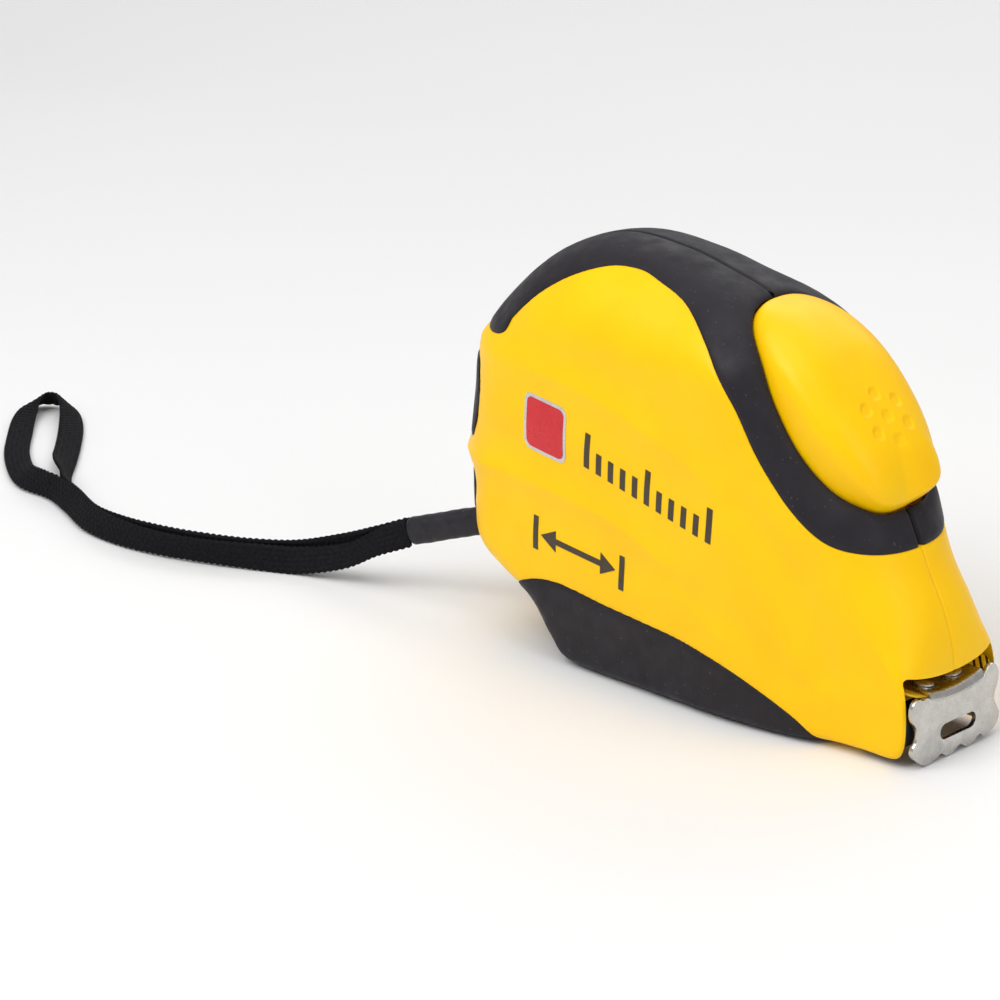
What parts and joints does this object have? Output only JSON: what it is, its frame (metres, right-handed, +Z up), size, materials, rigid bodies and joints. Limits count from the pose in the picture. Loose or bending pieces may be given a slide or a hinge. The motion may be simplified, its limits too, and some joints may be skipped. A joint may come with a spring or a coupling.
{
  "type": "tape measure",
  "caption": "Pocket tape measure: a long-nosed case with rubber grips, a spring-return brake button, a sliding hooked blade on a sprung reel, a belt clip and a wrist strap.",
  "frame": {"origin": "middle of the flat base, on the surface the tape stands on", "axes": "+X toward the hook, +Z up, -Y the label side, +Y the belt-clip side"},
  "size_m": [0.273, 0.0682, 0.0848],
  "materials": {
    "case": "satin moulded ABS",
    "grip": "soft-touch overmould",
    "steel": "satin nickel plate",
    "spring_steel": "bright rolled strip",
    "blade": "yellow lacquer with black print",
    "reel_plastic": "moulded",
    "sleeve": "heat-shrink tube",
    "webbing": "flat woven polyester"
  },
  "bodies": {
    "case": {"case_half_right": "case", "case_half_left": "case", "grip_top_right": "grip", "grip_top_left": "grip", "rear_pad_upper": "grip", "rear_pad_lower": "grip", "base_foot": "grip", "button_pin": "steel", "button_spring": "spring_steel", "mouth_bumper": "grip", "centre_arbor": "steel", "guide_pin": "steel", "case_screw_1": "steel", "case_screw_2": "steel", "case_screw_3": "steel", "case_screw_4": "steel", "belt_clip": "spring_steel", "clip_screw": "steel", "strap_anchor": "steel", "strap_sleeve": "sleeve", "strap_runs": "webbing", "strap_loop": "webbing"},
    "button": {"brake_button": "case", "brake_shoe": "grip"},
    "reel": {"blade_coil": "blade", "reel_hub": "reel_plastic", "reel_flange_right": "reel_plastic", "reel_flange_left": "reel_plastic", "power_spring": "spring_steel"},
    "blade": {"blade_front": "blade", "hook_rivet_right": "steel", "hook_rivet_left": "steel"},
    "hook": {"hook": "steel"}
  },
  "joints": [
    {"name": "button_press", "type": "hinge", "parent": "case", "child": "button", "pos_m": [0.00634, 0, 0.07361], "axis": [0, 1, 0], "range_deg": [0, 4], "stiffness_Nm_per_rad": 0.5, "springref_deg": -3.44},
    {"name": "reel_spin", "type": "hinge", "parent": "case", "child": "reel", "pos_m": [-0.022, 0, 0.0415], "axis": [0, -1, 0], "range_deg": [0, 75], "stiffness_Nm_per_rad": 0.05, "springref_deg": -85.94},
    {"name": "blade_slide", "type": "slide", "parent": "case", "child": "blade", "axis": [1, 0, 0], "range_m": [0, 0.0361]},
    {"name": "hook_float", "type": "slide", "parent": "blade", "child": "hook", "axis": [1, 0, 0], "range_m": [0, 0.001]}
  ],
  "couplings": [
    {"joint": "blade_slide", "follows": "reel_spin", "m_per_rad": 0.0275}
  ]
}
